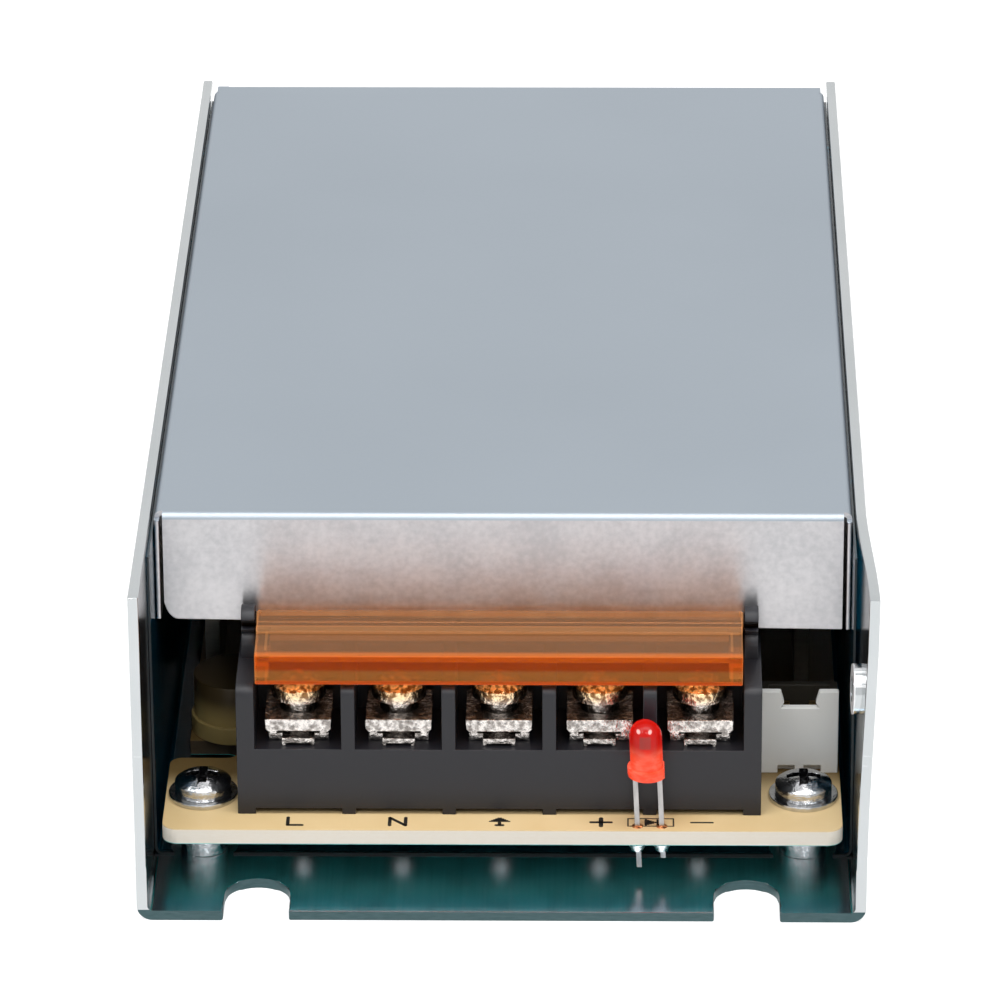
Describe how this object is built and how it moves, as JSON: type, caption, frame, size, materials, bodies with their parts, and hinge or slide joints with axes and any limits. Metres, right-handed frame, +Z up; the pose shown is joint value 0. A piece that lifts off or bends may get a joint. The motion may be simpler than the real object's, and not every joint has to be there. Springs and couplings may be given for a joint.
{
  "type": "enclosed switching power supply",
  "caption": "Open-fronted metal-cased power supply with a screw terminal block under a hinged amber cover, an indicator lamp and a circuit board on posts.",
  "frame": {"origin": "middle of the chassis underside", "axes": "+X to the right seen from the open front, +Y from the open front to the rear wall, +Z up"},
  "size_m": [0.0686, 0.127, 0.0338],
  "materials": {
    "plated_sheet": "bright plated sheet, almost mirror-like",
    "grey_sheet": "matt blue-grey sheet with bright folds",
    "bright_metal": "bright plated",
    "blue_film": "translucent film",
    "board_laminate": "tan top, pale cut edge, green underside",
    "black_plastic": "satin moulded",
    "amber_plastic": "translucent",
    "solder": "bright, slightly dull",
    "red_plastic": "translucent",
    "white_plastic": "satin moulded",
    "brass_pin": "bright",
    "beige_plastic": "satin moulded",
    "yellow_plastic": "moulded",
    "disc_coating": "dipped coating",
    "ferrite": "matt",
    "copper_wire": "lacquered",
    "sleeve_plastic": "shrunk sleeve",
    "yellow_tape": "tape",
    "spreader_metal": "plain",
    "grey_pad": "soft pad"
  },
  "bodies": {
    "case": {"chassis": "plated_sheet", "cover": "grey_sheet", "cover_screws": "bright_metal", "insulating_liner": "blue_film", "posts": "bright_metal", "circuit_board": "board_laminate", "board_washers": "bright_metal", "board_screws": "bright_metal", "terminal_block": "black_plastic", "solder_joints": "solder", "lamp_lens": "red_plastic", "lamp_leads": "bright_metal", "plug_header": "white_plastic", "header_pins": "brass_pin", "line_fuse": "beige_plastic", "filter_capacitor": "yellow_plastic", "inrush_limiter": "disc_coating", "choke_ring": "ferrite", "choke_windings": "copper_wire", "bridge_rectifier": "black_plastic", "storage_capacitor": "sleeve_plastic", "transformer_core": "ferrite", "transformer_bobbin": "black_plastic", "transformer_winding": "yellow_tape", "primary_spreader": "spreader_metal", "output_spreader": "spreader_metal", "switching_transistor": "black_plastic", "output_rectifier": "black_plastic", "insulating_pads": "grey_pad", "tab_screws": "bright_metal", "output_capacitors": "sleeve_plastic", "output_choke": "copper_wire", "optical_coupler": "black_plastic", "control_chip": "black_plastic", "safety_capacitors": "disc_coating", "resistors": "beige_plastic", "contact_plate_1": "bright_metal", "contact_plate_2": "bright_metal", "contact_plate_3": "bright_metal", "contact_plate_4": "bright_metal", "contact_plate_5": "bright_metal"},
    "flip": {"flip_cover": "amber_plastic"},
    "clamp_1": {"wire_clamp_1": "bright_metal"},
    "screw_1": {"terminal_screw_1": "bright_metal"},
    "clamp_2": {"wire_clamp_2": "bright_metal"},
    "screw_2": {"terminal_screw_2": "bright_metal"},
    "clamp_3": {"wire_clamp_3": "bright_metal"},
    "screw_3": {"terminal_screw_3": "bright_metal"},
    "clamp_4": {"wire_clamp_4": "bright_metal"},
    "screw_4": {"terminal_screw_4": "bright_metal"},
    "clamp_5": {"wire_clamp_5": "bright_metal"},
    "screw_5": {"terminal_screw_5": "bright_metal"}
  },
  "joints": [
    {"name": "flip_cover_hinge", "type": "hinge", "parent": "case", "child": "flip", "pos_m": [-0.0003, -0.0469, 0.02345], "axis": [-1, 0, 0], "range_deg": [0, 90]},
    {"name": "clamp_1_lift", "type": "slide", "parent": "case", "child": "clamp_1", "axis": [0, 0, 1], "range_m": [0, 0.002]},
    {"name": "screw_1_turn", "type": "hinge", "parent": "clamp_1", "child": "screw_1", "pos_m": [-0.0193, -0.0503, 0.0166], "axis": [0, 0, 1], "range_deg": [0, 1440]},
    {"name": "clamp_2_lift", "type": "slide", "parent": "case", "child": "clamp_2", "axis": [0, 0, 1], "range_m": [0, 0.002]},
    {"name": "screw_2_turn", "type": "hinge", "parent": "clamp_2", "child": "screw_2", "pos_m": [-0.0098, -0.0503, 0.0166], "axis": [0, 0, 1], "range_deg": [0, 1440]},
    {"name": "clamp_3_lift", "type": "slide", "parent": "case", "child": "clamp_3", "axis": [0, 0, 1], "range_m": [0, 0.002]},
    {"name": "screw_3_turn", "type": "hinge", "parent": "clamp_3", "child": "screw_3", "pos_m": [-0.0003, -0.0503, 0.0166], "axis": [0, 0, 1], "range_deg": [0, 1440]},
    {"name": "clamp_4_lift", "type": "slide", "parent": "case", "child": "clamp_4", "axis": [0, 0, 1], "range_m": [0, 0.002]},
    {"name": "screw_4_turn", "type": "hinge", "parent": "clamp_4", "child": "screw_4", "pos_m": [0.0092, -0.0503, 0.0166], "axis": [0, 0, 1], "range_deg": [0, 1440]},
    {"name": "clamp_5_lift", "type": "slide", "parent": "case", "child": "clamp_5", "axis": [0, 0, 1], "range_m": [0, 0.002]},
    {"name": "screw_5_turn", "type": "hinge", "parent": "clamp_5", "child": "screw_5", "pos_m": [0.0187, -0.0503, 0.0166], "axis": [0, 0, 1], "range_deg": [0, 1440]}
  ],
  "couplings": [
    {"joint": "screw_1_turn", "follows": "clamp_1_lift", "rad_per_m": 12566},
    {"joint": "screw_2_turn", "follows": "clamp_2_lift", "rad_per_m": 12566},
    {"joint": "screw_3_turn", "follows": "clamp_3_lift", "rad_per_m": 12566},
    {"joint": "screw_4_turn", "follows": "clamp_4_lift", "rad_per_m": 12566},
    {"joint": "screw_5_turn", "follows": "clamp_5_lift", "rad_per_m": 12566}
  ]
}
